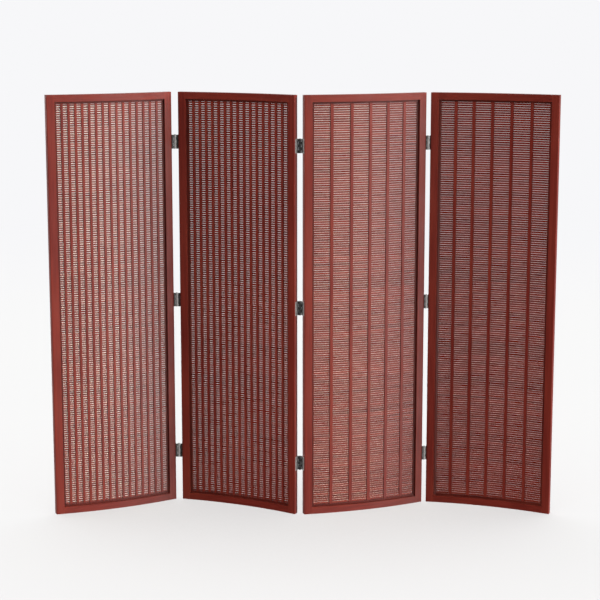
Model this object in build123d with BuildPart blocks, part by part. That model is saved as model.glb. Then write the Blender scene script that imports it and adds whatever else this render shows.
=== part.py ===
from build123d import *
from math import asin, cos, degrees, radians, sin, sqrt
import os

# Four-panel folding partition screen. Each panel is curved in plan, so the open screen stands in a
# serpentine. +X runs along the open screen, its front faces -Y, +Z is up, and the origin is on the
# floor under the middle of the whole screen. Millimetres.
#
# Each panel is drawn on its own ground plane: x runs along its chord from left to right, y points to
# its back. "Depth" is counted from the curved mid-surface, and is positive towards the front.

# ---- panel frames ----
PANEL_HEIGHT = 1750.0
PANEL_CHORD = 536.5        # straight distance between one panel's two side faces
CURVE_RADIUS = 1520.0      # plan radius of the mid-surface
FRAME_DEPTH = 26.0
STILE_WIDTH = 32.0
RAIL_HEIGHT = 29.0
EDGE_RADIUS = 3.0          # rounded outer edges of the stiles

# ---- infill: slats clamped between front and back laths, and held by beads all round ----
SLAT_DEPTH = 3.5
SLAT_END_ROOM = 0.5        # between a slat's end and its stile
LATH_DEPTH = 2.5
BEAD_WIDTH = 9.0
GLUE_LINE = 0.1            # between the slats and the laths or beads
NARROW = {"laths": 15, "lath_width": 10.0, "slats": 183, "slat_gap": 1.22}
WIDE = {"laths": 5, "lath_width": 13.0, "slats": 182, "slat_gap": 0.81}

# ---- corner dowels ----
DOWEL_RADIUS = 4.0
DOWEL_IN_STILE = 16.0
DOWEL_IN_RAIL = 24.0
DOWEL_SPREAD = 13.0        # between the two dowels of a corner
DOWEL_FIT = 0.05           # radial glue clearance
DOWEL_END_ROOM = 0.5

# ---- hinges ----
HINGE_HEIGHTS = (0.124, 0.5, 0.882)  # middles, as parts of the panel height
HINGE_LENGTH = 58.0
LEAF_WIDTH = 22.0          # on the stile
LEAF_THICKNESS = 2.0
LEAF_RECESS = 0.6          # how far a leaf is let into its stile's side face
LEAF_FIT = 0.1             # between a leaf's edge and its recess
PIN_PROUD = 4.5            # pin centre beyond the faces that fold together
PIN_RADIUS = 2.5
PIN_FIT = 0.05             # radial running clearance
PIN_HEAD_RADIUS = 3.8
PIN_HEAD_HEIGHT = 1.2
BARREL_RADIUS = 5.0
KNUCKLES = 5
KNUCKLE_GAP = 0.4
FLANGE_OFFSET = 1.0        # a leaf's cranked flange behind the line through the pin
FLANGE_ROOM = 0.5          # between a flange and the other leaf's knuckles

# ---- hinge screws ----
SCREW_RADIUS = 1.7
SCREW_HEAD_RADIUS = 3.55
SCREW_LENGTH = 20.0
SCREW_TIP = 4.0
SCREW_SUNK = 0.02          # head top below the leaf's face
SCREW_FIT = 0.05           # radial clearance in leaf and stile
SLOT_WIDTH = 0.8
SLOT_DEPTH = 0.7
SCREW_OFFSETS = (-19.0, 0.0, 19.0)   # from the hinge's middle

# ---- the panels: turn about +Z, which way each bulges (1 = front, -1 = back), its infill, and
# how far its laths drift to the right of even spacing (bow at mid-panel, tilt at the right edge) ----
PANELS = [
    {"number": 1, "turn": 25.0, "bulge": 1, "infill": NARROW, "drift": (-6.0, 0.8)},
    {"number": 2, "turn": -25.0, "bulge": -1, "infill": NARROW, "drift": (-7.6, 0.8)},
    {"number": 3, "turn": 20.0, "bulge": 1, "infill": WIDE, "drift": (14.2, 5.5)},
    {"number": 4, "turn": -20.0, "bulge": -1, "infill": WIDE, "drift": (-14.5, 4.7)},
]
# ---- the folds: which faces come together, with the pins beyond them (1 = front, -1 = back), and
# how far aside of each stile's side face the pins stand ----
FOLDS = [
    {"face": 1, "aside": 12.0},
    {"face": -1, "aside": 9.0},
    {"face": 1, "aside": 7.2},
]

HALF_CHORD = PANEL_CHORD / 2
HALF_OPENING = HALF_CHORD - STILE_WIDTH
HALF_INFILL = HALF_OPENING - BEAD_WIDTH
HALF_DEPTH = FRAME_DEPTH / 2
CURVE_CENTRE = sqrt(CURVE_RADIUS**2 - HALF_CHORD**2)
SIDE_HALF_DEPTH = HALF_DEPTH / cos(asin(HALF_CHORD / CURVE_RADIUS))  # of a stile's side face
PIN_AHEAD = SIDE_HALF_DEPTH + PIN_PROUD
CLEAR_HEIGHT = PANEL_HEIGHT - 2 * RAIL_HEIGHT
LATH_NEAR = SLAT_DEPTH / 2 + GLUE_LINE
LATH_FAR = LATH_NEAR + LATH_DEPTH
HINGE_BOTTOMS = [part * PANEL_HEIGHT - HINGE_LENGTH / 2 for part in HINGE_HEIGHTS]
KNUCKLE_LENGTH = (HINGE_LENGTH - (KNUCKLES - 1) * KNUCKLE_GAP) / KNUCKLES
SCREW_AHEAD = LEAF_WIDTH / 2 + PIN_PROUD      # screw line behind the pin

os.makedirs("parts", exist_ok=True)


def save(piece, name):
    """Label a finished piece and write its file."""
    piece.label = name
    export_step(piece, f"parts/{name}.step")


# ---------------------------------------------------------------- where the panels stand


def ground_plane(turn, origin):
    return Plane(origin=origin, x_dir=(cos(radians(turn)), sin(radians(turn)), 0), z_dir=(0, 0, 1))


def on_curve(bulge, across, depth):
    """The point of a panel's plan at a place along its chord and a depth."""
    radius = CURVE_RADIUS + bulge * depth
    return across, bulge * (CURVE_CENTRE - sqrt(radius**2 - across**2))


def fold_point(side, fold):
    """A fold's pin in the plan of the panel that has it on one side (1 = right, -1 = left)."""
    return side * (HALF_CHORD + fold["aside"]), -fold["face"] * PIN_AHEAD, 0


def outline_points(panel):
    """Plan points that reach as far as the panel does."""
    across = (-HALF_CHORD, 0, HALF_CHORD)
    plan = [on_curve(panel["bulge"], u, depth) for u in across for depth in (-HALF_DEPTH, HALF_DEPTH)]
    return [panel["ground"].from_local_coords((x, y, 0)) for x, y in plan]


def place_panels():
    """Chain the panels through their pins, then centre the whole screen over the origin."""
    start = Vector(0, 0, 0)
    for _ in range(2):
        PANELS[0]["ground"] = ground_plane(PANELS[0]["turn"], start)
        for left, right, fold in zip(PANELS, PANELS[1:], FOLDS):
            fold["pin"] = left["ground"].from_local_coords(fold_point(1, fold))
            reach = ground_plane(right["turn"], (0, 0, 0)).from_local_coords(fold_point(-1, fold))
            right["ground"] = ground_plane(right["turn"], fold["pin"] - reach)
        points = [point for panel in PANELS for point in outline_points(panel)]
        xs = [point.X for point in points]
        ys = [point.Y for point in points]
        start -= Vector((min(xs) + max(xs)) / 2, (min(ys) + max(ys)) / 2, 0)


def facing_sideways(panel, side, outward, across, ahead, height):
    """A plane square to a panel's chord, at a place in the panel, that faces its side or its middle."""
    origin = panel["ground"].from_local_coords((side * across, -ahead, height))
    return Plane(origin=origin, z_dir=panel["ground"].x_dir * (side * outward))


# ---------------------------------------------------------------- frame


def band(bulge, near, far, left, right):
    """A curved strip of a panel's plan between two depths and two places along the chord."""
    places = (left, (left + right) / 2, right)
    with BuildLine() as outline:
        one = ThreePointArc(*[on_curve(bulge, across, near) for across in places])
        other = ThreePointArc(*[on_curve(bulge, across, far) for across in places])
        Line(one @ 0, other @ 0)
        Line(one @ 1, other @ 1)
    make_face(outline.edges())


def dowel_places(panel, side, outward):
    """Planes at a stile's joints with both rails, two dowels to a joint."""
    ahead = -on_curve(panel["bulge"], HALF_OPENING, 0)[1]
    middles = (RAIL_HEIGHT / 2, PANEL_HEIGHT - RAIL_HEIGHT / 2)
    heights = [middle + way * DOWEL_SPREAD / 2 for middle in middles for way in (-1, 1)]
    return [facing_sideways(panel, side, outward, HALF_OPENING, ahead, height) for height in heights]


def hinge_faces(panel):
    """The sides of a panel that have hinges, each with the face that its pins are beyond."""
    index = panel["number"] - 1
    left = {-1: FOLDS[index - 1]["face"]} if index > 0 else {}
    right = {1: FOLDS[index]["face"]} if index < len(FOLDS) else {}
    return left | right


def screw_places(panel, side, face, across):
    """Planes on the screw lines of one side's leaves, facing outwards."""
    ahead = face * (PIN_AHEAD - SCREW_AHEAD)
    middles = [bottom + HINGE_LENGTH / 2 for bottom in HINGE_BOTTOMS]
    heights = [middle + offset for middle in middles for offset in SCREW_OFFSETS]
    return [facing_sideways(panel, side, 1, across, ahead, height) for height in heights]


def make_stile(panel, side):
    ground, bulge = panel["ground"], panel["bulge"]
    with BuildPart() as stile:
        with BuildSketch(ground) as plan:
            band(bulge, -HALF_DEPTH, HALF_DEPTH, *sorted((side * HALF_OPENING, side * HALF_CHORD)))
            fillet(plan.vertices().group_by(Axis.X)[-1 if side > 0 else 0], EDGE_RADIUS)
        extrude(amount=PANEL_HEIGHT)
        with Locations(*dowel_places(panel, side, -1)):
            Hole(DOWEL_RADIUS + DOWEL_FIT, DOWEL_IN_STILE + DOWEL_END_ROOM)
        if side in hinge_faces(panel):
            face = hinge_faces(panel)[side]
            recess_width = LEAF_WIDTH + LEAF_FIT + PIN_PROUD
            recess_middle = (side * HALF_CHORD, -face * (PIN_AHEAD - recess_width / 2))
            with BuildSketch(*[ground.offset(bottom - LEAF_FIT) for bottom in HINGE_BOTTOMS]):
                with Locations(recess_middle):
                    Rectangle(2 * LEAF_RECESS, recess_width)
            extrude(amount=HINGE_LENGTH + 2 * LEAF_FIT, mode=Mode.SUBTRACT)
            with Locations(*screw_places(panel, side, face, HALF_CHORD - LEAF_RECESS)):
                Hole(SCREW_RADIUS + SCREW_FIT, SCREW_LENGTH)
    return stile.part


def make_rail(panel, bottom):
    with BuildPart() as rail:
        with BuildSketch(panel["ground"].offset(bottom)):
            band(panel["bulge"], -HALF_DEPTH, HALF_DEPTH, -HALF_OPENING, HALF_OPENING)
        extrude(amount=RAIL_HEIGHT)
        joints = [place for side in (-1, 1) for place in dowel_places(panel, side, 1)]
        in_rail = [place for place in joints if bottom < place.origin.Z < bottom + RAIL_HEIGHT]
        with Locations(*in_rail):
            Hole(DOWEL_RADIUS + DOWEL_FIT, DOWEL_IN_RAIL + DOWEL_END_ROOM)
    return rail.part


def make_dowels(panel):
    shift = (DOWEL_IN_RAIL - DOWEL_IN_STILE) / 2
    places = [place.offset(shift) for side in (-1, 1) for place in dowel_places(panel, side, -1)]
    with BuildPart() as dowels:
        with Locations(*places):
            Cylinder(DOWEL_RADIUS, DOWEL_IN_STILE + DOWEL_IN_RAIL)
    return dowels.part


# ---------------------------------------------------------------- infill


def make_slats(panel):
    infill = panel["infill"]
    pitch = CLEAR_HEIGHT / infill["slats"]
    gap = infill["slat_gap"]
    bottoms = [RAIL_HEIGHT + gap / 2 + pitch * number for number in range(infill["slats"])]
    reach = HALF_OPENING - SLAT_END_ROOM
    with BuildPart() as slats:
        with BuildSketch(*[panel["ground"].offset(bottom) for bottom in bottoms]):
            band(panel["bulge"], -SLAT_DEPTH / 2, SLAT_DEPTH / 2, -reach, reach)
        extrude(amount=pitch - gap)
    return slats.part


def lath_drift(panel, across):
    """How far to the right of its even place a lath stands: a bow over the panel plus a tilt."""
    bow, tilt = panel["drift"]
    share = across / HALF_INFILL
    return bow * (1 - share**2) + tilt * share


def make_laths(panel, face):
    """Flat upright laths on one face of the slats, nearly evenly spaced between the beads."""
    infill, bulge = panel["infill"], panel["bulge"]
    width = infill["lath_width"]
    pitch = (2 * HALF_INFILL + width) / (infill["laths"] + 1)
    depth = face * (LATH_NEAR + LATH_DEPTH / 2)
    with BuildPart() as laths:
        with BuildSketch(panel["ground"].offset(RAIL_HEIGHT + BEAD_WIDTH)):
            for number in range(1, infill["laths"] + 1):
                even = pitch * number - HALF_INFILL - width / 2
                across = even + lath_drift(panel, even)
                lean = bulge * degrees(asin(across / (CURVE_RADIUS + bulge * depth)))
                with Locations(on_curve(bulge, across, depth)):
                    Rectangle(width, LATH_DEPTH, rotation=lean)
        extrude(amount=CLEAR_HEIGHT - 2 * BEAD_WIDTH)
    return laths.part


def make_beads(panel, face):
    """The retaining beads on one face of the infill: two upright, and one along each rail."""
    bulge = panel["bulge"]
    depths = (face * LATH_NEAR, face * LATH_FAR)
    top = PANEL_HEIGHT - RAIL_HEIGHT - BEAD_WIDTH
    with BuildPart() as upright:
        with BuildSketch(panel["ground"].offset(RAIL_HEIGHT)):
            band(bulge, *depths, -HALF_OPENING, -HALF_INFILL)
            band(bulge, *depths, HALF_INFILL, HALF_OPENING)
        extrude(amount=CLEAR_HEIGHT)
    with BuildPart() as level:
        with BuildSketch(*[panel["ground"].offset(bottom) for bottom in (RAIL_HEIGHT, top)]):
            band(bulge, *depths, -HALF_INFILL, HALF_INFILL)
        extrude(amount=BEAD_WIDTH)
    return Compound(children=[*upright.part.solids(), *level.part.solids()])


# ---------------------------------------------------------------- hinges


def make_screws(panel):
    """All the slotted countersunk screws in one panel's leaves."""
    shank_top = -SCREW_SUNK - (SCREW_HEAD_RADIUS - SCREW_RADIUS)
    with BuildPart() as screw:
        with BuildSketch(Plane.XZ):
            with BuildLine():
                Polyline(
                    (0, -SCREW_SUNK),
                    (SCREW_HEAD_RADIUS, -SCREW_SUNK),
                    (SCREW_RADIUS, shank_top),
                    (SCREW_RADIUS, SCREW_TIP - SCREW_LENGTH),
                    (0, -SCREW_LENGTH),
                    close=True,
                )
            make_face()
        revolve(axis=Axis.Z)
        with BuildSketch(Plane.XY):
            Rectangle(2 * SCREW_HEAD_RADIUS + 1, SLOT_WIDTH)
        extrude(amount=-SLOT_DEPTH, mode=Mode.SUBTRACT)
    leaf_face = HALF_CHORD - LEAF_RECESS + LEAF_THICKNESS
    places = [
        place
        for side, face in hinge_faces(panel).items()
        for place in screw_places(panel, side, face, leaf_face)
    ]
    with BuildPart() as screws:
        with Locations(*places):
            add(screw.part)
    return screws.part


def fold_plane(fold, panel):
    """The floor plane at a fold's pin, lined up with one of its panels."""
    return Plane(origin=fold["pin"], x_dir=panel["ground"].x_dir, z_dir=(0, 0, 1))


def make_leaves(fold, panel, side, first_knuckle):
    """One panel's leaves at a fold. Each has every second knuckle, from the first one given up.

    A leaf is a plate on the stile's side face, a flange square to it that reaches towards the pin,
    and knuckles that links join to the flange."""
    axis, face = fold_plane(fold, panel), fold["face"]
    plate_far = fold["aside"] + LEAF_RECESS
    plate_near = plate_far - LEAF_THICKNESS
    plate_width = PIN_PROUD + LEAF_WIDTH - FLANGE_OFFSET
    flange_near = min(BARREL_RADIUS + FLANGE_ROOM, plate_near)
    link_near = (BARREL_RADIUS + PIN_RADIUS) / 2
    steps = [(KNUCKLE_LENGTH + KNUCKLE_GAP) * number for number in range(first_knuckle, KNUCKLES, 2)]

    def strip(near, far, width):
        """A straight part of the leaf's plan, between two distances aside of the pin."""
        with Locations((-side * (near + far) / 2, face * (FLANGE_OFFSET + width / 2))):
            Rectangle(far - near, width)

    with BuildPart() as leaves:
        with BuildSketch(*[axis.offset(bottom) for bottom in HINGE_BOTTOMS]):
            strip(plate_near, plate_far, plate_width)
            strip(flange_near, plate_far, LEAF_THICKNESS)
        extrude(amount=HINGE_LENGTH)
        with BuildSketch(*[axis.offset(bottom + step) for bottom in HINGE_BOTTOMS for step in steps]):
            Circle(BARREL_RADIUS)
            strip(link_near, plate_far, LEAF_THICKNESS)
            Circle(PIN_RADIUS + PIN_FIT, mode=Mode.SUBTRACT)
        extrude(amount=KNUCKLE_LENGTH)
        leaf_face = HALF_CHORD - LEAF_RECESS + LEAF_THICKNESS
        with Locations(*screw_places(panel, side, face, leaf_face)):
            CounterSinkHole(
                radius=SCREW_RADIUS + SCREW_FIT,
                counter_sink_radius=SCREW_HEAD_RADIUS + SCREW_FIT,
                depth=LEAF_THICKNESS,
                counter_sink_angle=90,
            )
    return leaves.part


def make_pins(fold, panel):
    """The three headed pins of one fold."""
    tops = [fold_plane(fold, panel).offset(bottom + HINGE_LENGTH) for bottom in HINGE_BOTTOMS]
    with BuildPart() as pins:
        with BuildSketch(*tops):
            Circle(PIN_RADIUS)
        extrude(amount=-HINGE_LENGTH)
        with BuildSketch(*tops):
            Circle(PIN_HEAD_RADIUS)
        extrude(amount=PIN_HEAD_HEIGHT)
    return pins.part


# ---------------------------------------------------------------- the whole screen

place_panels()

for panel in PANELS:
    n = panel["number"]
    save(make_stile(panel, -1), f"stile_left_{n}")
    save(make_stile(panel, 1), f"stile_right_{n}")
    save(make_rail(panel, 0), f"rail_bottom_{n}")
    save(make_rail(panel, PANEL_HEIGHT - RAIL_HEIGHT), f"rail_top_{n}")
    save(make_dowels(panel), f"dowels_{n}")
    save(make_slats(panel), f"slats_{n}")
    for face, word in ((1, "front"), (-1, "back")):
        save(make_laths(panel, face), f"laths_{word}_{n}")
        save(make_beads(panel, face), f"beads_{word}_{n}")
    save(make_screws(panel), f"hinge_screws_{n}")

for left, right, fold in zip(PANELS, PANELS[1:], FOLDS):
    name = f"{left['number']}_{right['number']}"
    save(make_leaves(fold, left, 1, 0), f"hinge_leaves_{name}_left")
    save(make_leaves(fold, right, -1, 1), f"hinge_leaves_{name}_right")
    save(make_pins(fold, left), f"hinge_pins_{name}")
    print(f"fold {name}: pin at {fold['pin'].X:.4f}, {fold['pin'].Y:.4f} mm")
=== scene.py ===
import math

import bpy
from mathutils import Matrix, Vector


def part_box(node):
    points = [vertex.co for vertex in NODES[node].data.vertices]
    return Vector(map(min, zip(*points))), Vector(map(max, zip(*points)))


# The looks of a four-panel folding partition: red-brown lacquered wood frames, with slats behind
# upright laths, and steel butt hinges. Metres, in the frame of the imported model. Every CAD piece is
# kept: each gets eased edges and a procedural material. The front of the screen faces -Y.

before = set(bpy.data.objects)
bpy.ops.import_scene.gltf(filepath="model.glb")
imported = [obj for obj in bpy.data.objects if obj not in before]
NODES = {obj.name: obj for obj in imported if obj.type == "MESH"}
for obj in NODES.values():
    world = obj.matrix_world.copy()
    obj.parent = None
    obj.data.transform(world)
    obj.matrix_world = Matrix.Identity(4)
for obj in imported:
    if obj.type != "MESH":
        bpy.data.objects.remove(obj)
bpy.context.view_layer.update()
PANELS = (1, 2, 3, 4)
CLOSE_LATHED = (1, 2)         # the panels with many narrow laths

# ---- the camera, fitted to the frames' corners: in front, a little above the top of the screen ----
CAMERA_PLACE = (-0.0253, -7.0455, 2.1651)
CAMERA_TILT = math.radians(-10.247)
CAMERA_YAW = math.radians(-0.118)
CAMERA_LENS = 102.88          # mm, on a 36 mm sensor
CAMERA_SENSOR = 36.0

# ---- studio ----
BACKDROP = (0.930, 0.930, 0.947, 1.0)
FLOOR_REACH = 400.0
FLOOR_FADE_START = 4.0        # the floor turns into the backdrop between these distances
FLOOR_FADE_END = 9.0
FLOOR_SEEN = 0.512            # how much light the floor returns to the camera
FLOOR_BOUNCE = 0.02           # and how much to the screen
FLOOR_SUN = 5.00              # strength of the lamp that lights the floor alone
SHADE_REACH = 1.60            # how far from its foot the screen still shades the floor
SHADE_LEVEL = 0.82            # how bright the floor stays in the deepest of that shade
SHADE_DEEPEST = 0.35          # the open share of the sky where the shade is deepest
WORLD_BEHIND = 0.48           # the bright cyclorama behind the screen
WORLD_FRONT = 0.11            # the dim side where the camera stands
WORLD_MIRRORED = 0.5          # how brightly shiny faces mirror both
WORLD_TURNS = (-0.15, 0.45)   # the lower one is in front of the screen, the upper one behind it

# The lamps are wide soft discs, far away. Azimuth 0 is in front of the screen, 90 on its right and
# 180 behind it. Each lights matt colour, shine, or both. Their strengths were fitted to the photo's
# tones one lamp at a time, then rounded. The slat lamp shines on the slats alone.
LAMP_SPREAD = math.radians(30)
WHITE = (1.0, 1.0, 1.0)
CREAM = (1.0, 0.98, 0.70)
SLAT_LAMP = {"name": "slat_shine", "azimuth": 40, "elevation": 40, "strength": 8.0}
FLOOR_LAMP = {"name": "floor_light", "azimuth": 0, "elevation": 90, "strength": FLOOR_SUN}
LAMPS = [
    {"name": "key_side", "azimuth": 80, "elevation": 15, "strength": 4.95, "matt": True, "shine": False},
    {"name": "key_near", "azimuth": 50, "elevation": 15, "strength": 1.70, "matt": True, "shine": False},
    {"name": "fill_front", "azimuth": -10, "elevation": 15, "strength": 0.63, "matt": True, "shine": False},
    {"name": "fill_left", "azimuth": -70, "elevation": 15, "strength": 1.80, "matt": True, "shine": False},
    {"name": "shine_front", "azimuth": 30, "elevation": -6, "strength": 0.15, "matt": False, "shine": True},
    {"name": "shine_near", "azimuth": 55, "elevation": -6, "strength": 0.315, "matt": False, "shine": True},
    {"name": "shine_side", "azimuth": 80, "elevation": -6, "strength": 0.115, "matt": False, "shine": True},
    {"name": "rear", "azimuth": 160, "elevation": 45, "strength": 3.00, "matt": True, "shine": True},
    {"name": "rear_side", "azimuth": 230, "elevation": 15, "strength": 1.20, "matt": True, "shine": True},
]

# ---- colours, in linear light ----
LACQUER_MAIN = (0.190, 0.0215, 0.0130, 1.0)
LACQUER_DARK = (0.120, 0.0110, 0.0070, 1.0)
LACQUER_LIGHT = (0.250, 0.0360, 0.0200, 1.0)
LACQUER_WORN = (0.330, 0.0900, 0.0450, 1.0)
BEECH_MAIN = (0.520, 0.330, 0.170, 1.0)
BEECH_DARK = (0.360, 0.200, 0.090, 1.0)
STEEL_LIGHT = (0.560, 0.550, 0.530, 1.0)
STEEL_DARK = (0.330, 0.320, 0.310, 1.0)
GRIME = (0.030, 0.024, 0.020, 1.0)
# painted shade: the hinges' steel turns near-black with this colour where they sit in shade or mirror dark
# surroundings
PAINTED_HINGE_SHADE = (0.028, 0.024, 0.022, 1.0)

# ---- surfaces: noise scales are in waves per metre ----
GRAIN_UP = (1.0, 1.0, 0.03)
GRAIN_ALONG = (0.03, 1.0, 1.0)
DRIFT_SCALE = 9.0             # slow change of colour over a board
SMEAR_SCALE = 14.0            # uneven gloss
WEAR_SCALE = 60.0             # worn patches along an edge
STREAK_SCALE = 150.0
PEEL_SCALE = 380.0            # the faint ripple of sprayed lacquer
PORE_SCALE = 900.0
WEAR_REACH = 0.0016           # how far wear reaches from a wooden edge
STRIP_VARIETY = 0.18          # how much one slat's tone may differ from the next
STRIP_SEEDS = 40.0            # how far apart in the noise two slats may lie
BEECH_GRAIN = (0.04, 1.0, 1.0)
BEECH_FLECKS = (0.3, 1.0, 1.0)
STEEL_LINES_ACROSS = (0.02, 0.02, 1.0)
STEEL_RINGS = (1.0, 1.0, 0.3)
STEEL_WEAR_REACH = 0.0006
PAINTED_SHADE_FADE = 0.0012         # the width of the soft edge of the painted shade on the hinges
# how far from the pin's axis the painted shade on the hinges changes: BARREL_REACH at folds 1_2 and 3_4,
# FLANGE_REACH at fold 2_3
BARREL_REACH = 0.0050         # from the pin's axis
FLANGE_REACH = 0.0100
LEVEL = (1.0, 1.0, 0.0)       # leaves out height

# ---- width of the eased edges ----
FRAME_EDGE = 0.0008
SLAT_EDGE = 0.0011
LATH_EDGE = 0.0004
BEAD_EDGE = 0.0006
SCREW_EDGE = 0.0001
LEAF_EDGE = 0.00025
PIN_EDGE = 0.0003
SLAT_EDGE_STEPS = 4
JOIN_WITHIN = 1e-6            # corners nearer than this are one
FLAT_WITHIN = math.radians(0.2)
SHARP_FROM = math.radians(30)


# ---------------------------------------------------------------- node building


class Tree:
    """A node tree with one short call for each thing that the materials need."""

    def __init__(self, tree):
        self.tree = tree

    def node(self, kind, inputs=None, **settings):
        """A new node. Inputs are given by name or number, as values or as sockets to link."""
        made = self.tree.nodes.new(kind)
        for name, value in settings.items():
            setattr(made, name, value)
        for name, value in (inputs or {}).items():
            if isinstance(value, bpy.types.NodeSocket):
                self.tree.links.new(value, made.inputs[name])
            else:
                made.inputs[name].default_value = value
        return made

    def maths(self, operation, a, b=0.0):
        return self.node("ShaderNodeMath", {0: a, 1: b}, operation=operation).outputs[0]

    def mix(self, share, a, b, blend="MIX"):
        """A colour between a and b."""
        inputs = {0: share, 6: a, 7: b}
        return self.node("ShaderNodeMix", inputs, data_type="RGBA", blend_type=blend).outputs[2]

    def spread(self, value, low, high, to_low=0.0, to_high=1.0):
        """A value moved smoothly from the range low..high to another, and held inside it."""
        inputs = {0: value, 1: low, 2: high, 3: to_low, 4: to_high}
        return self.node("ShaderNodeMapRange", inputs, interpolation_type="SMOOTHSTEP").outputs[0]

    def noise(self, place, scale, detail=2.0, seed=0.0, rough=0.5):
        inputs = {"Vector": place, "W": seed, "Scale": scale, "Detail": detail, "Roughness": rough}
        return self.node("ShaderNodeTexNoise", inputs, noise_dimensions="4D").outputs[0]

    def stretch(self, place, scales):
        return self.node("ShaderNodeMapping", {"Vector": place, "Scale": scales}).outputs[0]

    def grey(self, level):
        return self.node("ShaderNodeCombineColor", {0: level, 1: level, 2: level}).outputs[0]

    def bump(self, height, strength, distance):
        inputs = {"Strength": strength, "Distance": distance, "Height": height}
        return self.node("ShaderNodeBump", inputs).outputs[0]

    def own(self, name):
        """One of the object's own properties."""
        return self.node("ShaderNodeAttribute", attribute_type="OBJECT", attribute_name=name).outputs[2]


def new_material(name):
    """A new material, its node tree, and the tree's Principled node."""
    material = bpy.data.materials.new(name)
    material.use_nodes = True
    tree = Tree(material.node_tree)
    surface = material.node_tree.nodes["Principled BSDF"]
    return material, tree, surface


def connect(tree, surface, **inputs):
    """Links or sets a Principled node's inputs. A name's underscores stand for spaces."""
    for name, value in inputs.items():
        socket = surface.inputs[name.replace("_", " ")]
        if isinstance(value, bpy.types.NodeSocket):
            tree.tree.links.new(value, socket)
        else:
            socket.default_value = value


# ---------------------------------------------------------------- materials


def panel_place(tree):
    """Places in the panel's own directions: x along its chord, y through it, z up."""
    place = tree.node("ShaderNodeTexCoord").outputs["Object"]
    back = tree.maths("MULTIPLY", tree.own("turn"), -1.0)
    inputs = {"Vector": place, "Angle": back}
    return tree.node("ShaderNodeVectorRotate", inputs, rotation_type="Z_AXIS").outputs[0]


def edge_share(tree, radius):
    """1 on a convex edge within about the radius, 0 on flat faces."""
    rounded = tree.node("ShaderNodeBevel", {"Radius": radius}, samples=4).outputs[0]
    flat = tree.node("ShaderNodeNewGeometry").outputs["Normal"]
    alike = tree.node("ShaderNodeVectorMath", {0: rounded, 1: flat}, operation="DOT_PRODUCT").outputs[1]
    return tree.spread(alike, 0.995, 0.90)


def grain_colour(tree, place, long_way, seed):
    """Stained wood under lacquer, with the streaks and pores that the relief also uses."""
    slow_way = tuple(0.25 + way / 2 for way in long_way)
    grain_place = tree.stretch(place, long_way)
    drift = tree.noise(tree.stretch(place, slow_way), DRIFT_SCALE, 2.0, seed)
    streaks = tree.noise(grain_place, STREAK_SCALE, 4.0, seed, 0.6)
    pores = tree.noise(grain_place, PORE_SCALE, 2.0, seed, 0.6)
    colour = tree.mix(tree.spread(streaks, 0.30, 0.70), LACQUER_DARK, LACQUER_MAIN)
    colour = tree.mix(tree.spread(drift, 0.35, 0.75, 0.0, 0.55), colour, LACQUER_LIGHT)
    colour = tree.mix(tree.spread(pores, 0.58, 0.70, 0.0, 0.35), colour, LACQUER_DARK)
    return colour, streaks, pores


def lacquered_wood(name, upright, edges=True, variety=0.0, tone=1.0, gloss=0.34, shine=0.5):
    """Satin lacquer over stained wood. The grain runs up the piece or along the panel's chord.

    With a variety, each separate strip of the piece has its own grain and tone.
    """
    material, tree, surface = new_material(name)
    place = panel_place(tree)
    seed = tree.own("board")
    shade = tone
    if variety:
        strip = tree.node("ShaderNodeNewGeometry").outputs["Random Per Island"]
        seed = tree.maths("ADD", seed, tree.maths("MULTIPLY", strip, STRIP_SEEDS))
        shade = tree.spread(strip, 0.0, 1.0, tone - variety, tone + variety)
    long_way = GRAIN_UP if upright else GRAIN_ALONG
    colour, streaks, pores = grain_colour(tree, place, long_way, seed)
    colour = tree.mix(1.0, colour, tree.grey(shade), "MULTIPLY")

    peel = tree.noise(place, PEEL_SCALE, 1.0)
    smear = tree.noise(place, SMEAR_SCALE, 3.0, seed)
    rough = tree.spread(smear, 0.3, 0.7, gloss - 0.05, gloss + 0.07)
    if edges:
        worn = edge_share(tree, WEAR_REACH)
        patchy = tree.noise(place, WEAR_SCALE, 3.0, seed, 0.6)
        worn = tree.maths("MULTIPLY", worn, tree.spread(patchy, 0.40, 0.62, 0.08, 0.55))
        colour = tree.mix(worn, colour, LACQUER_WORN)
        rough = tree.maths("ADD", rough, tree.maths("MULTIPLY", worn, 0.15))
    height = tree.maths("ADD", tree.maths("MULTIPLY", streaks, 0.5), tree.maths("MULTIPLY", pores, -0.5))
    height = tree.maths("ADD", height, tree.maths("MULTIPLY", peel, 0.35))
    connect(tree, surface, Base_Color=colour, Roughness=rough, Normal=tree.bump(height, 0.25, 0.0002))
    connect(tree, surface, Coat_Weight=0.25, Coat_Roughness=0.22, Specular_IOR_Level=shine)
    return material


def beech(name):
    """Plain turned beech, with the short flecks of its rays."""
    material, tree, surface = new_material(name)
    place = panel_place(tree)
    streaks = tree.noise(tree.stretch(place, BEECH_GRAIN), 500.0, 3.0, tree.own("board"))
    flecks = tree.noise(tree.stretch(place, BEECH_FLECKS), 1400.0, 1.0)
    colour = tree.mix(tree.spread(streaks, 0.3, 0.7), BEECH_DARK, BEECH_MAIN)
    colour = tree.mix(tree.spread(flecks, 0.62, 0.72, 0.0, 0.5), colour, BEECH_DARK)
    connect(tree, surface, Base_Color=colour, Roughness=0.62, Normal=tree.bump(streaks, 0.3, 0.0001))
    return material


def with_painted_shade(tree, colour, axis, reach, near, far):
    """Steel darkened with painted shade by one share within reach of an upright axis, and by another beyond
    it.
    """
    here = tree.node("ShaderNodeTexCoord").outputs["Object"]
    aside = tree.node("ShaderNodeVectorMath", {0: here, 1: axis}, operation="SUBTRACT").outputs[0]
    away = tree.node("ShaderNodeVectorMath", {0: tree.stretch(aside, LEVEL)}, operation="LENGTH")
    share = tree.spread(away.outputs[1], reach, reach + PAINTED_SHADE_FADE, near, far)
    return tree.mix(share, colour, PAINTED_HINGE_SHADE)


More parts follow.
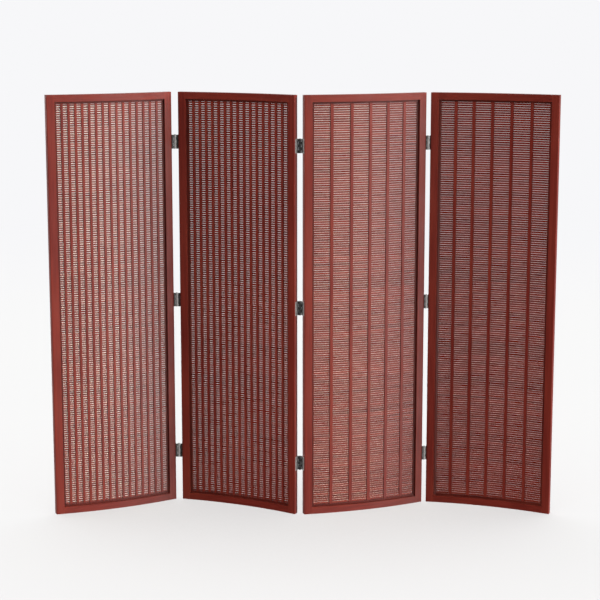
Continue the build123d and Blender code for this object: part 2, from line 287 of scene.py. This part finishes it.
def steel(name, brushed, shine, metal=1.0, painted_shade=None):
    """Plated steel. Brushed steel has fine lines across the hinge; turned steel has rings round it."""
    material, tree, surface = new_material(name)
    place = panel_place(tree)
    ways = STEEL_LINES_ACROSS if brushed else STEEL_RINGS
    lines = tree.noise(tree.stretch(place, ways), 2600.0, 3.0, tree.own("board"), 0.6)
    patches = tree.noise(place, 120.0, 4.0, tree.own("board"), 0.6)
    corners = edge_share(tree, STEEL_WEAR_REACH)
    tone = tree.maths("ADD", tree.maths("MULTIPLY", lines, 0.6), tree.maths("MULTIPLY", patches, 0.4))
    colour = tree.mix(tree.spread(tone, 0.35, 0.65), STEEL_DARK, STEEL_LIGHT)
    colour = tree.mix(tree.spread(patches, 0.55, 0.75, 0.0, 0.5), colour, GRIME)
    colour = tree.mix(tree.maths("MULTIPLY", corners, 0.5), colour, STEEL_LIGHT)
    # painted shade on the hinges, dark where they sit in shade or mirror dark surroundings
    if painted_shade:
        colour = with_painted_shade(tree, colour, **painted_shade)
    rough = tree.spread(tone, 0.3, 0.7, shine, shine + 0.16)
    bump = tree.bump(lines, 0.25, 0.00004)
    connect(tree, surface, Base_Color=colour, Metallic=metal, Roughness=rough, Normal=bump)
    return material


# ---------------------------------------------------------------- the CAD pieces


def fresh_normals():
    """A node group that joins a CAD mesh's split corners and drops the normals it came with."""
    group = bpy.data.node_groups.new("fresh_normals", "GeometryNodeTree")
    group.interface.new_socket("Geometry", in_out="INPUT", socket_type="NodeSocketGeometry")
    group.interface.new_socket("Geometry", in_out="OUTPUT", socket_type="NodeSocketGeometry")
    tree = Tree(group)
    start = tree.node("NodeGroupInput").outputs[0]
    inputs = {"Geometry": start, "Distance": JOIN_WITHIN}
    joined = tree.node("GeometryNodeMergeByDistance", inputs).outputs[0]
    inputs = {"Mesh": joined, "Remove Custom": True}
    plain = tree.node("GeometryNodeSetMeshNormal", inputs, mode="SHARPNESS")
    tree.node("NodeGroupOutput", {0: plain.outputs[0]})
    return group


def ease_edges(piece, width, segments):
    """Rounds the sharp edges of a CAD piece, on a mesh with its flat faces made whole."""
    piece.modifiers.new("fresh_normals", "NODES").node_group = FRESH_NORMALS
    whole = piece.modifiers.new("whole_faces", "DECIMATE")
    whole.decimate_type = "DISSOLVE"
    whole.angle_limit = FLAT_WITHIN
    easing = piece.modifiers.new("eased_edges", "BEVEL")
    easing.width = width
    easing.segments = segments
    easing.limit_method = "ANGLE"
    easing.angle_limit = SHARP_FROM
    easing.harden_normals = True
    easing.use_clamp_overlap = True


def chord_turn(panel):
    """How far a panel's chord is turned from +X, from the places of its two stiles."""
    left = sum(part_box(f"stile_left_{panel}"), start=Vector())
    right = sum(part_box(f"stile_right_{panel}"), start=Vector())
    return math.atan2(right.y - left.y, right.x - left.x)


def dress(node, material, turn, board, width, segments=2):
    """Gives a CAD piece its material, its edges, and the values that its material reads."""
    piece = NODES[node]
    piece["turn"] = turn
    piece["board"] = float(board)
    for holder in piece.material_slots:
        holder.link = "OBJECT"
        holder.material = material
    ease_edges(piece, width, segments)


def dress_panel(panel):
    turn = chord_turn(panel)
    seed = 10.0 * panel
    dress(f"stile_left_{panel}", MATERIALS["stile"], turn, seed + 1, FRAME_EDGE)
    dress(f"stile_right_{panel}", MATERIALS["stile"], turn, seed + 2, FRAME_EDGE)
    dress(f"rail_bottom_{panel}", MATERIALS["rail"], turn, seed + 3, FRAME_EDGE)
    dress(f"rail_top_{panel}", MATERIALS["rail"], turn, seed + 4, FRAME_EDGE)
    dress(f"dowels_{panel}", MATERIALS["dowel"], turn, seed + 5, FRAME_EDGE)
    slats = "close_slat" if panel in CLOSE_LATHED else "open_slat"
    dress(f"slats_{panel}", MATERIALS[slats], turn, seed + 6, SLAT_EDGE, SLAT_EDGE_STEPS)
    for face in ("front", "back"):
        dress(f"laths_{face}_{panel}", MATERIALS["lath"], turn, seed + 7, LATH_EDGE)
        dress(f"beads_{face}_{panel}", MATERIALS["bead"], turn, seed + 8, BEAD_EDGE)
    dress(f"hinge_screws_{panel}", MATERIALS["screw"], turn, seed + 9, SCREW_EDGE)


def dress_fold(left, right, reach, near, far):
    """Dresses a fold's hinges. Near and far are the shares of painted shade on them, round the pins and
    beyond.
    """
    name = f"{left}_{right}"
    lowest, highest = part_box(f"hinge_pins_{name}")
    # the painted shade on this fold's hinges
    painted_shade = {"axis": (lowest + highest) / 2, "reach": reach, "near": near, "far": far}
    leaf = steel(f"hinge_steel_{name}", brushed=True, shine=0.20, metal=0.3, painted_shade=painted_shade)
    dress(f"hinge_leaves_{name}_left", leaf, chord_turn(left), left, LEAF_EDGE)
    dress(f"hinge_leaves_{name}_right", leaf, chord_turn(right), right, LEAF_EDGE)
    dress(f"hinge_pins_{name}", MATERIALS["pin"], chord_turn(left), left + 5, PIN_EDGE)


# ---------------------------------------------------------------- studio


def make_floor():
    """A pale floor that fades into the backdrop, so that no horizon shows."""
    mesh = bpy.data.meshes.new("floor")
    far = FLOOR_REACH
    mesh.from_pydata([(-far, -far, 0), (far, -far, 0), (far, far, 0), (-far, far, 0)], [], [(0, 1, 2, 3)])
    floor = bpy.data.objects.new("floor", mesh)
    bpy.context.scene.collection.objects.link(floor)
    floor.visible_glossy = False

    material, tree, surface = new_material("floor")
    material.node_tree.nodes.remove(surface)
    camera_ray = tree.node("ShaderNodeLightPath").outputs["Is Camera Ray"]
    place = tree.node("ShaderNodeTexCoord").outputs["Object"]
    distance = tree.node("ShaderNodeVectorMath", {0: place}, operation="LENGTH").outputs[1]
    reach = {"Distance": SHADE_REACH}
    open_share = tree.node("ShaderNodeAmbientOcclusion", reach, samples=8).outputs["AO"]
    seen = tree.maths("MULTIPLY", tree.spread(open_share, SHADE_DEEPEST, 1.0, SHADE_LEVEL, 1.0), FLOOR_SEEN)
    albedo = tree.spread(camera_ray, 0.0, 1.0, FLOOR_BOUNCE, seen)
    plain = tree.node("ShaderNodeBsdfDiffuse", {"Color": tree.grey(albedo)}).outputs[0]
    backdrop = tree.node("ShaderNodeEmission", {"Color": BACKDROP}).outputs[0]
    fade = tree.maths("MULTIPLY", tree.spread(distance, FLOOR_FADE_START, FLOOR_FADE_END), camera_ray)
    both = tree.node("ShaderNodeMixShader", {0: fade, 1: plain, 2: backdrop}).outputs[0]
    output = material.node_tree.nodes["Material Output"]
    material.node_tree.links.new(both, output.inputs["Surface"])
    mesh.materials.append(material)
    return floor


def make_world():
    """The backdrop for the camera, and for the light a cyclorama that is bright behind the screen."""
    world = bpy.data.worlds.new("studio")
    bpy.context.scene.world = world
    world.use_nodes = True
    tree = Tree(world.node_tree)
    path = tree.node("ShaderNodeLightPath")
    camera_ray = path.outputs["Is Camera Ray"]
    direction = tree.node("ShaderNodeTexCoord").outputs["Generated"]
    behind = tree.node("ShaderNodeSeparateXYZ", {0: direction}).outputs["Y"]
    level = tree.spread(behind, *WORLD_TURNS, WORLD_FRONT, WORLD_BEHIND)
    mirrored = tree.spread(path.outputs["Is Glossy Ray"], 0.0, 1.0, 1.0, WORLD_MIRRORED)
    level = tree.maths("MULTIPLY", level, mirrored)
    colour = tree.mix(camera_ray, tree.grey(level), BACKDROP)
    background = world.node_tree.nodes["Background"]
    world.node_tree.links.new(colour, background.inputs["Color"])


def add_lamp(name, azimuth, elevation, strength, colour, receivers, blockers):
    """A distant lamp that lights some objects only, and is shaded by some objects only."""
    lamp = bpy.data.lights.new(name, "SUN")
    lamp.energy = strength
    lamp.angle = LAMP_SPREAD
    lamp.color = colour
    holder = bpy.data.objects.new(name, lamp)
    bpy.context.scene.collection.objects.link(holder)
    round_by = math.radians(azimuth)
    up_by = math.radians(elevation)
    level = math.cos(up_by)
    away = Vector((math.sin(round_by) * level, -math.cos(round_by) * level, math.sin(up_by)))
    holder.rotation_mode = "QUATERNION"
    holder.rotation_quaternion = away.to_track_quat("Z", "Y")
    holder.light_linking.receiver_collection = receivers
    holder.light_linking.blocker_collection = blockers
    return holder


def only(name, objects):
    """A collection for light linking."""
    made = bpy.data.collections.new(name)
    for each in objects:
        made.objects.link(each)
    return made


def make_lights(floor):
    """Lamps that light the screen, one that only shines on its slats, and one for the floor."""
    screen = only("screen_only", NODES.values())
    for lamp in LAMPS:
        place = (lamp["name"], lamp["azimuth"], lamp["elevation"], lamp["strength"])
        holder = add_lamp(*place, WHITE, screen, screen)
        holder.visible_diffuse = lamp["matt"]
        holder.visible_glossy = lamp["shine"]
    slats = only("slats_only", [NODES[f"slats_{panel}"] for panel in PANELS])
    holder = add_lamp(*SLAT_LAMP.values(), CREAM, slats, screen)
    holder.visible_diffuse = False
    holder = add_lamp(*FLOOR_LAMP.values(), WHITE, only("floor_only", [floor]), screen)
    holder.data.use_shadow = False


def make_camera():
    camera = bpy.data.cameras.new("camera")
    camera.sensor_width = CAMERA_SENSOR
    camera.lens = CAMERA_LENS
    camera.clip_end = 2 * FLOOR_REACH
    holder = bpy.data.objects.new("camera", camera)
    holder.location = CAMERA_PLACE
    holder.rotation_euler = (math.radians(90) + CAMERA_TILT, 0, CAMERA_YAW)
    bpy.context.scene.collection.objects.link(holder)
    bpy.context.scene.camera = holder


# ---------------------------------------------------------------- the whole scene

FRESH_NORMALS = fresh_normals()
SLAT_LOOK = {"upright": False, "edges": False, "variety": STRIP_VARIETY, "gloss": 0.30}
MATERIALS = {
    "stile": lacquered_wood("stile_lacquer", upright=True),
    "rail": lacquered_wood("rail_lacquer", upright=False, tone=0.94),
    "close_slat": lacquered_wood("close_slat_lacquer", **SLAT_LOOK, shine=1.0),
    "open_slat": lacquered_wood("open_slat_lacquer", **SLAT_LOOK),
    "lath": lacquered_wood("lath_lacquer", upright=True, edges=False),
    # the beads' low tone of 0.50 is painted shade of the recess round the infill
    "bead": lacquered_wood("bead_lacquer", upright=True, tone=0.50, gloss=0.45),
    "dowel": beech("dowel_beech"),
    "pin": steel("pin_steel", brushed=False, shine=0.16),
    "screw": steel("screw_steel", brushed=False, shine=0.22),
}

for number in PANELS:
    dress_panel(number)
# Painted shade on the hinges: dark flanges beside a lighter barrel at folds 1_2 and 3_4, and a dark barrel
# between light leaves at fold 2_3.
dress_fold(1, 2, BARREL_REACH, near=0.10, far=0.95)
dress_fold(2, 3, FLANGE_REACH, near=0.90, far=0.05)
dress_fold(3, 4, BARREL_REACH, near=0.10, far=0.95)

FLOOR = make_floor()
make_world()
make_lights(FLOOR)
make_camera()
bpy.context.scene.view_settings.view_transform = "Standard"
